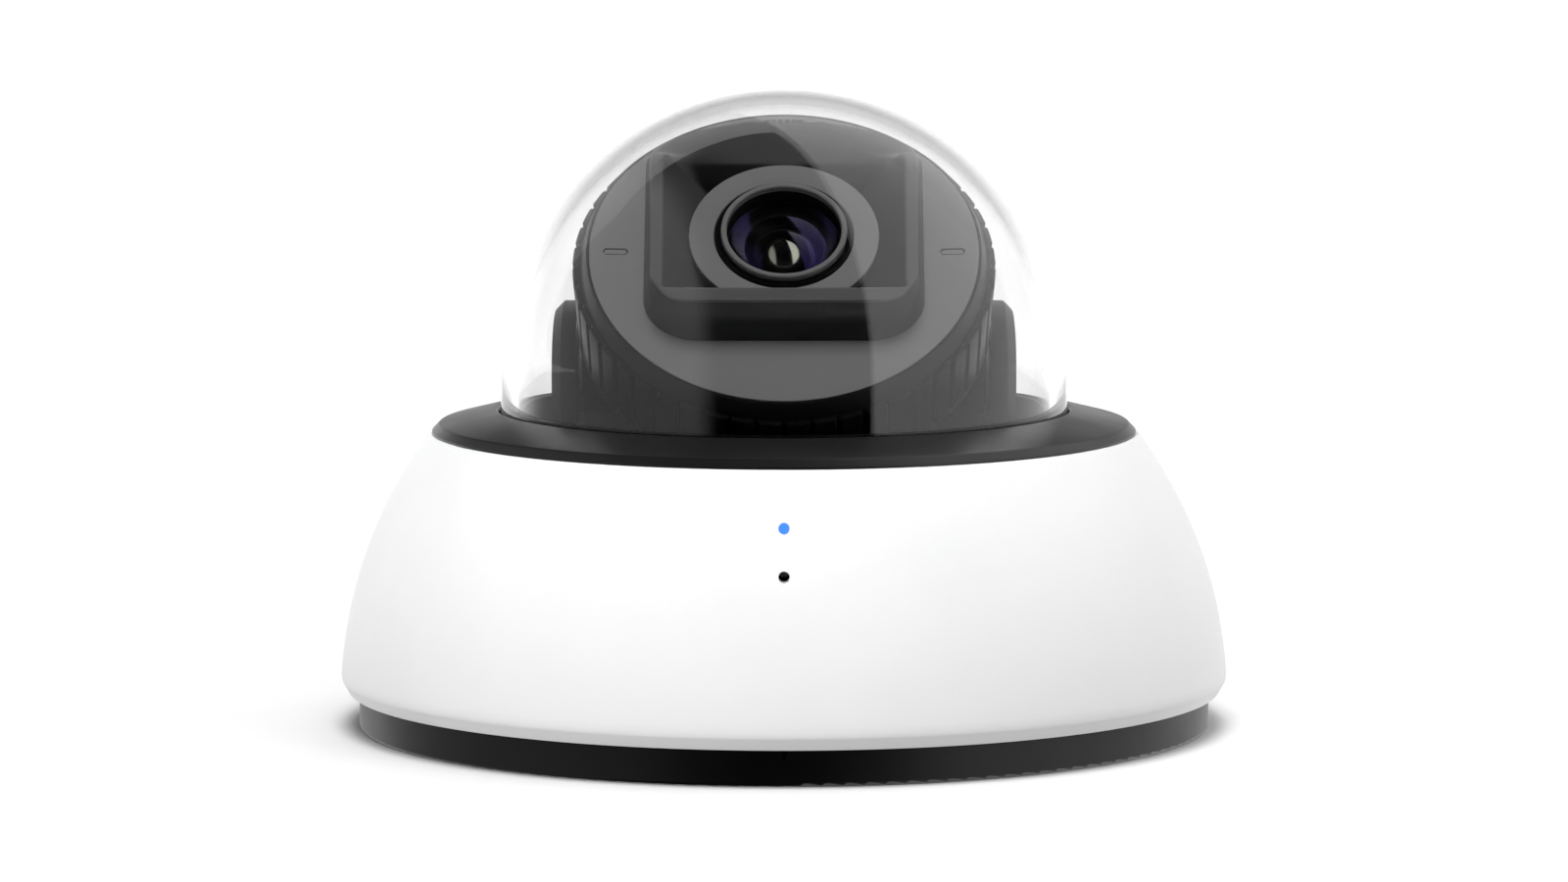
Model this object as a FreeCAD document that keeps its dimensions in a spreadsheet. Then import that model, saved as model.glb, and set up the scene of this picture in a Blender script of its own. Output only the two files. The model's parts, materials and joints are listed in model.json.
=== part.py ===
import FreeCAD, Part
import math
import os
import Sketcher

# A dome security camera on a round base, in millimetres. +Z is up through the dome,
# the lens looks towards -Y, and the origin is the centre of the base's underside.
# Every size below is written to the document's sheet, and the shapes are bound to it.

SIZES = {
    # mounting base
    "base_radius": 76.6,
    "base_edge_radius": 0.8,
    "floor_top": 3.0,
    "base_rim_top": 6.3,
    "spigot_outer": 74.4,
    "spigot_inner": 72.4,
    "spigot_top": 11.5,
    "mount_hole_circle": 58.0,
    "mount_hole_radius": 2.4,
    "grommet_y": 32.0,
    "grommet_bore": 3.2,
    "grommet_seat": 12.5,
    "post_x": 33.7,
    "post_y": 48.2,
    "post_radius": 4.5,
    "post_top": 38.0,
    # boards
    "board_low": 8.0,
    "board_top": 9.6,
    "board_radius": 68.0,
    "board_front": 20.0,
    "front_board_back": 60.0,
    "front_board_face": 61.6,
    "front_board_top": 45.5,
    # tray, liner and turntable
    "tray_low": 18.0,
    "tray_top": 21.0,
    "tray_rim": 30.0,
    "tray_radius": 48.6,
    "liner_bore": 46.9,
    "liner_neck": 47.7,
    "liner_top": 57.2,
    "leg_circle": 42.0,
    "pan_bore": 14.0,
    "running_gap": 0.05,
    "clearance": 0.3,
    "turntable_low": 22.0,
    "turntable_top": 25.0,
    "turntable_radius": 45.5,
    "wire_bore": 9.0,
    # yoke and tilt axis
    "foot_radius": 43.2,
    "foot_top": 27.5,
    "arm_inner": 36.8,
    "arm_outer": 41.0,
    "arm_radius": 12.9,
    "arm_bevel": 1.6,
    "web_half": 11.0,
    "web_top": 53.0,
    "web_cutout": 30.0,
    "pivot_height": 63.7,
    "pivot_radius": 4.0,
    "pivot_head": 5.8,
    "bearing_radius": 25.0,
    "bearing_outer": 28.0,
    "bearing_half": 5.0,
    # camera head, along the lens axis from the tilt axis
    "lens_elevation": 46.0,
    "drum_back": 14.4,
    "drum_front": 28.5,
    "drum_radius": 36.5,
    "drum_bore": 33.0,
    "knurl_depth": 0.7,
    "knurl_gap": 1.0,
    "face_front": 31.7,
    "face_radius": 33.6,
    "bezel_front": 33.9,
    "bezel_back": 35.4,
    "slot_x": 29.17,
    "slot_y": 0.33,
    "slot_half": 1.38,
    "slot_radius": 0.75,
    "hood_front": 39.0,
    "hood_floor": 34.8,
    "hood_reach": 46.5,
    "hood_circle": 32.5,
    "flange_front": 36.5,
    "flange_radius": 16.5,
    "barrel_radius": 12.0,
    "barrel_front": 36.9,
    "front_ring_outer": 10.95,
    "front_ring_inner": 9.95,
    # cover
    "cover_low": 6.6,
    "cover_low_radius": 78.5,
    "cover_bevel_top": 9.0,
    "cover_top": 53.0,
    "cover_arc": 81.2,
    "cover_arc_r": 1.2,
    "cover_arc_z": 4.0,
    "cover_wall": 2.8,
    "cover_bore": 54.5,
    "trim_inner": 51.3,
    "trim_outer": 63.3,
    "trim_shoulder": 62.0,
    "trim_shoulder_top": 54.7,
    "trim_top": 57.3,
    "dome_outer": 50.8,
    "dome_wall": 2.8,
    "flange_low": 49.7,
    "flange_top": 52.2,
    "dome_flange": 54.2,
    "clamp_low": 47.7,
    "clamp_outer": 60.8,
    "clamp_circle": 57.5,
    "led_height": 43.6,
    "sound_hole_height": 35.7,
    "pinhole_radius": 0.95,
}

doc = FreeCAD.newDocument("SecurityCamera")
sheet = doc.addObject("Spreadsheet::Sheet", "dims")


class Size:
    """A number together with the sheet expression that gives it."""

    def __init__(self, value, text):
        self.value = value
        self.text = text

    def __add__(self, other):
        other = as_size(other)
        return Size(self.value + other.value, f"({self.text} + {other.text})")

    def __sub__(self, other):
        other = as_size(other)
        return Size(self.value - other.value, f"({self.text} - {other.text})")

    def __mul__(self, other):
        other = as_size(other)
        return Size(self.value * other.value, f"({self.text} * {other.text})")

    def __truediv__(self, other):
        other = as_size(other)
        return Size(self.value / other.value, f"({self.text} / {other.text})")

    def __radd__(self, other):
        return as_size(other) + self

    def __rsub__(self, other):
        return as_size(other) - self

    def __rmul__(self, other):
        return as_size(other) * self

    def __neg__(self):
        return Size(-self.value, f"(0 - {self.text})")

    def root(self):
        return Size(math.sqrt(self.value), f"sqrt({self.text})")


def as_size(number):
    if isinstance(number, Size):
        return number
    return Size(float(number), f"({float(number)})")


class Sizes:
    """The sheet's sizes as attributes, such as d.base_radius."""

    def __init__(self, table):
        for row, (alias, number) in enumerate(table.items(), start=1):
            sheet.set(f"A{row}", alias.replace("_", " "))
            sheet.set(f"B{row}", str(number))
            sheet.setAlias(f"B{row}", alias)
            setattr(self, alias, Size(float(number), f"dims.{alias}"))


d = Sizes(SIZES)
doc.recompute()


# ---------------------------------------------------------------- drawing helpers

def bind(thing, field, size):
    thing.setExpression(field, as_size(size).text)


def new_body(name):
    return doc.addObject("PartDesign::Body", name)


def plane_of(body, role):
    return next(item for item in body.Origin.OriginFeatures if item.Role == role)


def new_sketch(body, role, offset=0):
    sketch = body.newObject("Sketcher::SketchObject", body.Name + "_sketch")
    sketch.AttachmentSupport = [(plane_of(body, role), "")]
    sketch.MapMode = "FlatFace"
    shift = as_size(offset)
    sketch.AttachmentOffset = FreeCAD.Placement(FreeCAD.Vector(0, 0, shift.value), FreeCAD.Rotation())
    bind(sketch, "AttachmentOffset.Base.z", shift)
    return sketch


def fix(sketch, kind, where, size):
    size = as_size(size)
    index = sketch.addConstraint(Sketcher.Constraint(kind, *where, size.value))
    sketch.setExpression(f"Constraints[{index}]", size.text)


def arc_between(start, end, radius):
    """The short arc from start to end; a positive radius turns left."""
    chord = end - start
    middle = (start + end) * 0.5
    left = FreeCAD.Vector(-chord.y, chord.x, 0).normalize()
    height = math.sqrt(max(radius * radius - chord.Length ** 2 / 4, 0.0))
    centre = middle + left * math.copysign(height, radius)
    first, last = (start, end) if radius > 0 else (end, start)
    angles = [math.atan2(point.y - centre.y, point.x - centre.x) for point in (first, last)]
    circle = Part.Circle(centre, FreeCAD.Vector(0, 0, 1), abs(radius))
    return Part.ArcOfCircle(circle, *angles)


def draw_outline(sketch, points):
    """A closed outline of (x, y) points; a third value is the radius of the arc that
    arrives at the point, positive where the outline turns left."""
    places = [FreeCAD.Vector(as_size(p[0]).value, as_size(p[1]).value, 0) for p in points]
    ends = []
    for index, point in enumerate(points):
        start = places[index - 1]
        end = places[index]
        if len(point) == 2:
            edge = sketch.addGeometry(Part.LineSegment(start, end))
            ends.append((edge, 1, 2))
            continue
        radius = as_size(point[2])
        edge = sketch.addGeometry(arc_between(start, end, radius.value))
        ends.append((edge, 1, 2) if radius.value > 0 else (edge, 2, 1))
    for index, (edge, _, last) in enumerate(ends):
        following, first, _ = ends[(index + 1) % len(ends)]
        sketch.addConstraint(Sketcher.Constraint("Coincident", edge, last, following, first))
        fix(sketch, "DistanceX", (-1, 1, edge, last), points[index][0])
        fix(sketch, "DistanceY", (-1, 1, edge, last), points[index][1])
        if len(points[index]) == 3:
            radius = as_size(points[index][2])
            fix(sketch, "Radius", (edge,), radius if radius.value > 0 else -radius)


def turned(name, points):
    """A body turned about its Z axis from an outline of (radius, height) points."""
    body = new_body(name)
    sketch = new_sketch(body, "XZ_Plane")
    draw_outline(sketch, points)
    revolution = body.newObject("PartDesign::Revolution", name + "_revolution")
    revolution.Profile = sketch
    revolution.ReferenceAxis = (sketch, ["V_Axis"])
    revolution.Angle = 360
    return body


def ring(name, inner, outer, low, high):
    return turned(name, [(inner, low), (outer, low), (outer, high), (inner, high)])


def padded(name, role, offset, length, outline):
    """A body padded from an outline drawn on one of its origin planes."""
    body = new_body(name)
    sketch = new_sketch(body, role, offset)
    draw_outline(sketch, outline)
    pad = body.newObject("PartDesign::Pad", name + "_pad")
    pad.Profile = sketch
    bind(pad, "Length", length)
    return body


TURN_TO = {
    "up": FreeCAD.Rotation(),
    "down": FreeCAD.Rotation(FreeCAD.Vector(1, 0, 0), 180),
    "right": FreeCAD.Rotation(FreeCAD.Vector(0, 1, 0), 90),
    "left": FreeCAD.Rotation(FreeCAD.Vector(0, 1, 0), -90),
    "front": FreeCAD.Rotation(FreeCAD.Vector(1, 0, 0), 90),
}


def set_place(thing, x, y, z, way="up"):
    place = [as_size(value) for value in (x, y, z)]
    thing.Placement = FreeCAD.Placement(FreeCAD.Vector(*[p.value for p in place]), TURN_TO[way])
    for axis, value in zip("xyz", place):
        bind(thing, "Placement.Base." + axis, value)


def cylinder(radius, height, x, y, z, way="up"):
    thing = doc.addObject("Part::Cylinder", "cylinder")
    bind(thing, "Radius", radius)
    bind(thing, "Height", height)
    set_place(thing, x, y, z, way)
    return thing


def ball(radius):
    thing = doc.addObject("Part::Sphere", "ball")
    bind(thing, "Radius", radius)
    return thing


def hexagon_bar(width, height, x, y, z, way="up"):
    thing = doc.addObject("Part::Prism", "hexagon_bar")
    thing.Polygon = 6
    bind(thing, "Circumradius", width)
    bind(thing, "Height", height)
    set_place(thing, x, y, z, way)
    return thing


def box(low, high):
    thing = doc.addObject("Part::Box", "box")
    for field, first, last in zip(("Length", "Width", "Height"), low, high):
        bind(thing, field, as_size(last) - first)
    set_place(thing, *low)
    return thing


def union(things, name="union"):
    fused = doc.addObject("Part::MultiFuse", name)
    fused.Shapes = things
    return fused


def group(things, name="group"):
    compound = doc.addObject("Part::Compound", name)
    compound.Links = things
    return compound


def cut(base, tools, name="cut"):
    result = doc.addObject("Part::Cut", name)
    result.Base = base
    result.Tool = tools[0] if len(tools) == 1 else group(tools)
    return result


def common(first, second, name="common"):
    result = doc.addObject("Part::Common", name)
    result.Base = first
    result.Tool = second
    return result


def around(circle, angles):
    """Points on a circle, with the angles in degrees from +X."""
    return [(circle * math.cos(math.radians(a)), circle * math.sin(math.radians(a))) for a in angles]


# Screw sizes: head radius, head height, shank radius and shank length
BOARD_SCREW = (2.4, 1.8, 1.25, 5.5)
TRAY_SCREW = (2.8, 2.2, 1.5, 13.9)
PAN_SCREW = (1.9, 1.3, 0.9, 5.0)
YOKE_SCREW = (2.6, 1.4, 1.4, 3.4)
HEAD_SCREW = (1.9, 1.6, 0.95, 5.0)
CLAMP_SCREW = (2.4, 1.5, 1.15, 4.2)
COVER_SCREW = (2.9, 2.1, 1.5, 22.0)


def screw(x, y, seat, way, size):
    """A socket screw whose head stands on seat; way, up or down, says where the head points.
    The size is its head radius, head height, shank radius and shank length."""
    head_radius, head_height, shank_radius, length = size
    back = "down" if way == "up" else "up"
    head = cylinder(head_radius, head_height, x, y, seat, way)
    shank = cylinder(shank_radius, length, x, y, seat, back)
    sign = 1 if way == "up" else -1
    socket_depth = 0.6 * head_height
    socket_floor = seat + sign * (head_height - socket_depth)
    socket = hexagon_bar(0.5 * head_radius, head_height, x, y, socket_floor, way)
    return cut(union([head, shank]), [socket])


def on_head(thing):
    """Places a piece drawn about the lens axis (along its Z) at the camera's tilt."""
    thing.Placement = FreeCAD.Placement(
        FreeCAD.Vector(0, 0, d.pivot_height.value),
        FreeCAD.Rotation(FreeCAD.Vector(1, 0, 0), 90 - d.lens_elevation.value),
    )
    bind(thing, "Placement.Base.z", d.pivot_height)
    bind(thing, "Placement.Rotation.Angle", 90 - d.lens_elevation)
    return thing


# ---------------------------------------------------------------- shared places

LEG_ANGLES = (45, 135, 270)
MOUNT_ANGLES = (90, 210, 330)
CLAMP_ANGLES = (0, 90, 180, 270)
LEGS = around(d.leg_circle, LEG_ANGLES)
MOUNT_HOLES = around(d.mount_hole_circle, MOUNT_ANGLES)
POSTS = [(d.post_x, d.post_y), (-d.post_x, d.post_y)]
STANDOFFS = [(58, -8), (-58, -8), (44, 44), (-44, 44)]
LEG_RADIUS = 4.0
LEG_SEAT = 9.0
LEG_SCREW_SEAT = 18.4
LEG_SCREW_HOLE = 1.6
STANDOFF_RADIUS = 3.0
KNURL_COUNT = 48


# ---------------------------------------------------------------- base body

def mounting_base():
    pan = turned("pan", [
        (0, 0),
        (d.base_radius - d.base_edge_radius, 0),
        (d.base_radius, d.base_edge_radius, d.base_edge_radius),
        (d.base_radius, d.base_rim_top),
        (d.spigot_outer, d.base_rim_top),
        (d.spigot_outer, d.spigot_top),
        (d.spigot_inner, d.spigot_top),
        (d.spigot_inner, d.floor_top),
        (0, d.floor_top),
    ])
    bury = 0.5
    low = d.floor_top - bury
    solids = [pan]
    solids += [cylinder(d.post_radius, d.post_top - low, x, y, low) for x, y in POSTS]
    solids += [cylinder(LEG_RADIUS, LEG_SEAT - low, x, y, low) for x, y in LEGS]
    solids += [cylinder(STANDOFF_RADIUS, d.board_low - low, x, y, low) for x, y in STANDOFFS]
    solids.append(box((-6, -d.front_board_back, low), (6, -55.9, 30)))
    tools = [cylinder(d.mount_hole_radius, 2 * d.floor_top, x, y, -1) for x, y in MOUNT_HOLES]
    tools.append(cylinder(d.grommet_seat, 2 * d.floor_top, 0, d.grommet_y, -1))
    tools += [cylinder(1.9, 12, x, y, d.post_top - 10) for x, y in POSTS]
    tools += [cylinder(LEG_SCREW_HOLE, LEG_SEAT, x, y, 4) for x, y in LEGS]
    tools += [cylinder(1.3, LEG_SEAT, x, y, 4) for x, y in STANDOFFS]
    mark_depth = 0.7
    mark = padded("alignment_mark", "XZ_Plane", d.base_radius - mark_depth, 2,
                  outline=[(1.1, d.base_rim_top + 0.5), (-1.1, d.base_rim_top + 0.5), (0, 4.5)])
    tools.append(mark)
    return cut(union(solids), tools)


def cable_grommet():
    plug = turned("grommet_plug", [
        (d.grommet_bore, 0.2),
        (d.grommet_seat, 0.2),
        (d.grommet_seat, d.floor_top),
        (d.grommet_seat + 2, d.floor_top),
        (d.grommet_seat + 2, d.floor_top + 2),
        (8, 6.4),
        (d.grommet_bore, 6.4),
    ])
    set_place(plug, 0, d.grommet_y, 0)
    return plug


def main_board():
    side = (d.board_radius * d.board_radius - d.board_front * d.board_front).root()
    plate = padded("board_plate", "XY_Plane", d.board_low, d.board_top - d.board_low, outline=[
        (side, -d.board_front),
        (0, d.board_radius, d.board_radius),
        (-side, -d.board_front, d.board_radius),
    ])
    reach = 4
    tools = [cylinder(5.0, reach, x, y, d.board_low - 1) for x, y in POSTS]
    tools += [cylinder(4.6, reach, x, y, d.board_low - 1) for x, y in LEGS[:2]]
    tools += [cylinder(1.35, reach, x, y, d.board_low - 1) for x, y in STANDOFFS]
    tools.append(cylinder(13.0, reach, 0, d.grommet_y, d.board_low - 1))
    tools.append(cylinder(6.0, reach, *MOUNT_HOLES[0], d.board_low - 1))
    return cut(plate, tools)


def board_screws():
    return group([screw(x, y, d.board_top, "up", BOARD_SCREW) for x, y in STANDOFFS])


def processor_heat_sink():
    low_x, low_y, size = 11.0, -14.0, 26.0
    block = box((low_x, low_y, d.board_top), (low_x + size, low_y + size, d.board_top + 4))
    pitch = size / 7
    grooves = []
    for index in range(6):
        left = low_x + (index + 0.75) * pitch
        groove = box((left, low_y - 1, d.board_top + 1.6), (left + pitch / 2, low_y + size + 1, 20))
        grooves.append(groove)
    return cut(block, grooves)


JACK_LOW = (-28.0, 50.0)
JACK_HIGH = (-7.5, 66.0)
JACK_TOP = 23.0
CAVITY_BACK = -20.5
CAVITY_SIDES = (52.1, 63.9)
CAVITY_HEIGHTS = (11.6, 19.9)


def ethernet_jack():
    shell = box((*JACK_LOW, d.board_top), (*JACK_HIGH, JACK_TOP))
    cavity = box((CAVITY_BACK, CAVITY_SIDES[0], CAVITY_HEIGHTS[0]), (0, CAVITY_SIDES[1], CAVITY_HEIGHTS[1]))
    latch_room = box((CAVITY_BACK, 55.0, CAVITY_HEIGHTS[0]), (0, 61.0, 21.5))
    return cut(shell, [union([cavity, latch_room])])


def ethernet_contacts():
    bars = []
    low = CAVITY_HEIGHTS[0] + 0.5
    for index in range(8):
        y = 58.0 + (index - 3.5) * 1.02
        bars.append(box((CAVITY_BACK, y - 0.18, low), (CAVITY_BACK + 8, y + 0.18, low + 0.4)))
    return group(bars)


def sd_card_socket():
    shell = box((-63, 10, d.board_top), (-49, 24, d.board_top + 2.0))
    slot = box((-64, 11.3, d.board_top + 0.5), (-51, 22.7, d.board_top + 1.5))
    return cut(shell, [slot])


def reset_switch():
    case = box((51, 11, d.board_top), (57, 17, 13.0))
    return cut(case, [cylinder(1.8, 5, 54, 14, 10.8)])


def front_board():
    return box((-9, -d.front_board_face, d.floor_top), (9, -d.front_board_back, d.front_board_top))


def status_led():
    half_height = 0.8
    return box((-1.5, -d.front_board_face - 1.6, d.led_height - half_height),
               (1.5, -d.front_board_face, d.led_height + half_height))


def microphone():
    can = cylinder(3.0, 3.7, 0, -d.front_board_face, d.sound_hole_height, "front")
    port = cylinder(0.6, 2, 0, -d.front_board_face - 3.0, d.sound_hole_height, "front")
    return cut(can, [port])


def camera_tray():
    bowl = turned("tray_bowl", [
        (d.pan_bore, d.tray_low),
        (d.tray_radius, d.tray_low),
        (d.tray_radius, d.tray_rim),
        (d.liner_bore + 0.2, d.tray_rim),
        (d.liner_bore + 0.2, d.tray_top),
        (d.pan_bore, d.tray_top),
    ])
    legs = [cylinder(LEG_RADIUS, d.tray_low + 1 - LEG_SEAT, x, y, LEG_SEAT) for x, y in LEGS]
    tools = [cylinder(LEG_SCREW_HOLE, 20, x, y, LEG_SEAT - 1) for x, y in LEGS]
    tools += [cylinder(3.1, 6, x, y, LEG_SCREW_SEAT) for x, y in LEGS]
    return cut(union([bowl, *legs]), tools)


def tray_screws():
    return group([screw(x, y, LEG_SCREW_SEAT, "up", TRAY_SCREW) for x, y in LEGS])


def inner_liner():
    return turned("liner_sleeve", [
        (d.liner_bore, d.tray_rim),
        (d.tray_radius, d.tray_rim),
        (d.tray_radius, d.flange_low - 1.3),
        (d.liner_neck, d.flange_low - 0.3),
        (d.liner_neck, d.liner_top),
        (d.liner_bore, d.liner_top),
    ])


def pan_thrust_washer():
    return ring("thrust_ring", d.pan_bore + 1, 22, d.tray_top, d.turntable_low - d.clearance)


# ---------------------------------------------------------------- reset button

def reset_button():
    stem = cylinder(1.7, 2.5, 54, 14, 11.6)
    cap = cylinder(1.4, 1.7, 54, 14, 14.0)
    return union([stem, cap])


# ---------------------------------------------------------------- pan body

PAN_SCREW_ANGLES = (30, 150, 270)
YOKE_SCREWS = [(30, 20), (-30, 20), (30, -20), (-30, -20)]
YOKE_SCREW_SEAT = 26.0


def turntable():
    pin = d.pan_bore - d.running_gap
    pin_end = d.tray_low - d.clearance
    plate = turned("turntable_plate", [
        (d.wire_bore, pin_end),
        (pin, pin_end),
        (pin, d.turntable_low),
        (d.turntable_radius, d.turntable_low),
        (d.turntable_radius, d.turntable_top),
        (d.wire_bore, d.turntable_top),
    ])
    tools = [cylinder(0.95, 3.6, x, y, pin_end - 0.1) for x, y in around(11.5, PAN_SCREW_ANGLES)]
    tools += [cylinder(1.5, 4, x, y, d.turntable_low + 0.4) for x, y in YOKE_SCREWS]
    return cut(plate, tools)


def pan_retainer():
    high = d.tray_low - d.clearance
    washer = ring("retainer_ring", d.wire_bore, 18, high - 1.8, high)
    return cut(washer, [cylinder(0.95, 4, x, y, high - 3) for x, y in around(11.5, PAN_SCREW_ANGLES)])


def pan_screws():
    seat = d.tray_low - d.clearance - 1.8
    places = around(11.5, PAN_SCREW_ANGLES)
    return group([screw(x, y, seat, "down", PAN_SCREW) for x, y in places])


def bevel_outer_edges(body, pad):
    """Bevels the outline of an arm's outer face."""
    doc.recompute()
    names = []
    for index, edge in enumerate(pad.Shape.Edges, start=1):
        on_face = all(abs(v.Point.x - d.arm_outer.value) < 1e-4 for v in edge.Vertexes)
        above_foot = edge.BoundBox.ZMax > d.turntable_top.value + 1
        if on_face and above_foot:
            names.append(f"Edge{index}")
    bevel = body.newObject("PartDesign::Chamfer", "arm_bevel")
    bevel.Base = (pad, names)
    bind(bevel, "Size", d.arm_bevel)


def yoke_arm():
    """The arm on the +X side: an upright slab with a round top about the tilt axis."""
    body = padded("arm", "YZ_Plane", d.arm_inner, d.arm_outer - d.arm_inner, outline=[
        (-d.arm_radius, d.turntable_top),
        (d.arm_radius, d.turntable_top),
        (d.arm_radius, d.pivot_height),
        (0, d.pivot_height + d.arm_radius, d.arm_radius),
        (-d.arm_radius, d.pivot_height, d.arm_radius),
    ])
    bevel_outer_edges(body, body.Tip)
    return body


def yoke():
    arm = yoke_arm()
    twin = doc.addObject("Part::Mirroring", "arm_twin")
    twin.Source = arm
    twin.Base = FreeCAD.Vector(0, 0, 0)
    twin.Normal = FreeCAD.Vector(1, 0, 0)
    web_side = d.arm_inner + 0.5
    web = box((-web_side, -d.web_half, d.turntable_top), (web_side, d.web_half, d.web_top))
    room = cylinder(d.web_cutout, 2 * d.arm_inner, -d.arm_inner, 0, d.pivot_height, "right")
    foot = ring("yoke_foot", d.wire_bore, d.foot_radius, d.turntable_top, d.foot_top)
    frame = union([arm, twin, cut(web, [room]), foot])
    tools = [cylinder(d.wire_bore, 30, 0, 0, d.turntable_top - 1)]
    for way, sign in (("right", 1), ("left", -1)):
        tools.append(cylinder(d.pivot_radius, 20, sign * 30, 0, d.pivot_height, way))
        tools.append(cylinder(d.pivot_head + 0.4, 10, sign * (d.arm_outer - 2), 0, d.pivot_height, way))
    for x, y in YOKE_SCREWS:
        tools.append(cylinder(1.5, 4, x, y, d.turntable_top - 1))
        tools.append(cylinder(2.9, 4, x, y, YOKE_SCREW_SEAT))
    return cut(frame, tools)


def yoke_screws():
    return group([screw(x, y, YOKE_SCREW_SEAT, "up", YOKE_SCREW) for x, y in YOKE_SCREWS])


# ---------------------------------------------------------------- tilt body

PIVOT_BOSS_RADIUS = 8.0
PIVOT_BOSS_END = 36.0
PIVOT_THREAD = 2.5


def tilt_frame():
    band = ring("tilt_band", d.bearing_radius, d.bearing_outer, -d.bearing_half, d.bearing_half)
    start = d.bearing_outer - 0.6
    length = PIVOT_BOSS_END - start
    bosses = [cylinder(PIVOT_BOSS_RADIUS, length, start, 0, 0, "right"),
              cylinder(PIVOT_BOSS_RADIUS, length, -start, 0, 0, "left")]
    holes = [cylinder(PIVOT_THREAD, 12, 28.5, 0, 0, "right"),
             cylinder(PIVOT_THREAD, 12, -28.5, 0, 0, "left")]
    return on_head(cut(union([band, *bosses]), holes))


def tilt_pivot(sign, way):
    journal_end = d.arm_outer - 2 + d.clearance
    thread = cylinder(PIVOT_THREAD, PIVOT_BOSS_END - 28.5, sign * 28.5, 0, 0, way)
    journal_radius = d.pivot_radius - d.running_gap
    journal = cylinder(journal_radius, journal_end - PIVOT_BOSS_END, sign * PIVOT_BOSS_END, 0, 0, way)
    head = cylinder(d.pivot_head, 1.4, sign * journal_end, 0, 0, way)
    socket = hexagon_bar(2.5, 4, sign * (journal_end + 0.2), 0, 0, way)
    return cut(union([thread, journal, head]), [socket])


def tilt_pivots():
    return on_head(group([tilt_pivot(1, "right"), tilt_pivot(-1, "left")]))


def tilt_friction_washers():
    washers = []
    for sign, way in ((1, "right"), (-1, "left")):
        disc = cylinder(PIVOT_BOSS_RADIUS, 0.5, sign * PIVOT_BOSS_END, 0, 0, way)
        hole = cylinder(d.pivot_radius, 3, sign * (PIVOT_BOSS_END - 1), 0, 0, way)
        washers.append(cut(disc, [hole]))
    return on_head(group(washers))


# ---------------------------------------------------------------- head body

SHELL_SHOULDER = 27.0
SHELL_WALL = 31.0
HEAD_SCREW_ANGLES = (45, 135, 225, 315)
HEAD_SCREW_CIRCLE = 22.5
RETAINER_THICK = 2.0
LENS_TUBE = 14.6
LENS_SEAT = 8.6


def head_shell():
    bearing = d.bearing_radius - d.running_gap
    end = d.bearing_half + d.clearance
    plate_front = d.drum_back + 2
    shell = turned("head_body", [
        (20, -end),
        (bearing, -end),
        (bearing, end),
        (SHELL_SHOULDER, end),
        (SHELL_SHOULDER, d.drum_back),
        (d.drum_bore, d.drum_back),
        (d.drum_bore, d.drum_front),
        (SHELL_WALL, d.drum_front),
        (SHELL_WALL, plate_front),
        (22.6, plate_front),
        (22.6, 0),
        (20, 0),
    ])
    places = around(HEAD_SCREW_CIRCLE, HEAD_SCREW_ANGLES)
    return on_head(cut(shell, [cylinder(1.0, 4.5, x, y, -6) for x, y in places]))


def knurl_ring():
    """The grip drum: a ring with grooves along the lens axis all round it."""
    edge = 0.5
    body = turned("knurl_drum", [
        (d.drum_bore, d.drum_back),
        (d.drum_radius - edge, d.drum_back),
        (d.drum_radius, d.drum_back + edge),
        (d.drum_radius, d.drum_front - edge),
        (d.drum_radius - edge, d.drum_front),
        (d.drum_bore, d.drum_front),
    ])
    groove_low = d.drum_back + 0.6
    sketch = new_sketch(body, "XY_Plane", groove_low)
    inner = d.drum_radius - d.knurl_depth
    outer = d.drum_radius + 1
    half = d.knurl_gap / 2
    draw_outline(sketch, [(outer, half), (inner, half), (inner, -half), (outer, -half)])
    groove = body.newObject("PartDesign::Pocket", "knurl_groove")
    groove.Profile = sketch
    groove.Reversed = True
    bind(groove, "Length", d.drum_front - d.drum_back - 1.2)
    doc.recompute()
    pattern = body.newObject("PartDesign::PolarPattern", "knurl_pattern")
    pattern.Originals = [groove]
    pattern.Axis = (plane_of(body, "Z_Axis"), [""])
    pattern.Angle = 360
    pattern.Occurrences = KNURL_COUNT
    body.Tip = pattern
    return on_head(body)


def head_bezel():
    return on_head(turned("bezel_ring", [
        (SHELL_WALL, d.drum_front),
        (d.bezel_back, d.drum_front),
        (d.bezel_front, d.face_front),
        (d.face_radius, d.face_front),
        (d.face_radius, d.drum_front + 1),
        (SHELL_WALL, d.drum_front + 1),
    ]))


def faceplate():
    """The flat face, with a small engraved slot at each side."""
    body = ring("face_disc", 14.0, d.face_radius, d.drum_front + 1, d.face_front)
    sketch = new_sketch(body, "XY_Plane", d.face_front)
    for x in (d.slot_x, -d.slot_x):
        left = x - d.slot_half
        right = x + d.slot_half
        low = d.slot_y - d.slot_radius
        high = d.slot_y + d.slot_radius
        draw_outline(sketch, [
            (left, low, d.slot_radius),
            (right, low),
            (right + d.slot_radius, d.slot_y, d.slot_radius),
            (right, high, d.slot_radius),
            (left, high),
            (left - d.slot_radius, d.slot_y, d.slot_radius),
        ])
    slots = body.newObject("PartDesign::Pocket", "face_slots")
    slots.Profile = sketch
    bind(slots, "Length", 0.5)
    return on_head(body)


def draw_hood_outline(sketch, half_width, bottom, top, corner):
    """A square outline with rounded lower corners."""
    draw_outline(sketch, [
        (-half_width, top),
        (-half_width, bottom + corner),
        (corner - half_width, bottom, corner),
        (half_width - corner, bottom),
        (half_width, bottom + corner, corner),
        (half_width, top),
    ])


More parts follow.
